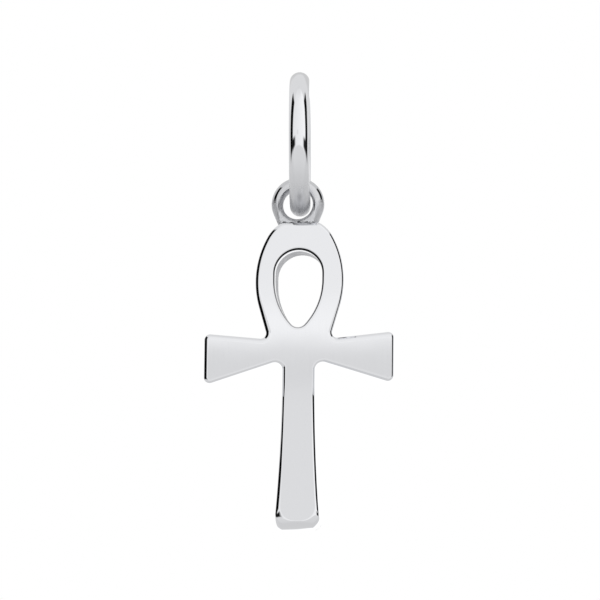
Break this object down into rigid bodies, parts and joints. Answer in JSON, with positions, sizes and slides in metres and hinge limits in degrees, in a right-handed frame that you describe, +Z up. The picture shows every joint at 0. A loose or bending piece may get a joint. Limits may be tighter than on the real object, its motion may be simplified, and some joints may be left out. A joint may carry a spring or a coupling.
{
  "type": "ankh pendant",
  "caption": "Polished silver ankh with a pierced egg-shaped loop and flared arms and foot, hung by a small soldered eye on a ring bail of round wire.",
  "frame": {"origin": "inside top of the bail ring, where a chain sits", "axes": "+Z up, -Y out of the ankh's front face, +X to the right as seen from the front"},
  "size_m": [0.0113, 0.0086, 0.0274],
  "materials": {
    "cast_silver": "cast sterling silver, tumbled and polished bright, with faint fine scratches",
    "wire_silver": "drawn sterling silver wire, polished bright, with faint fine scratches"
  },
  "bodies": {
    "bail": {"bail": "wire_silver"},
    "ankh": {"ankh": "cast_silver"}
  },
  "joints": [
    {"name": "swing", "type": "hinge", "parent": "bail", "child": "ankh", "pos_m": [0, 0, -0.00676], "axis": [-0.1132, 0.9936, 0], "range_deg": [-145, 145]}
  ]
}
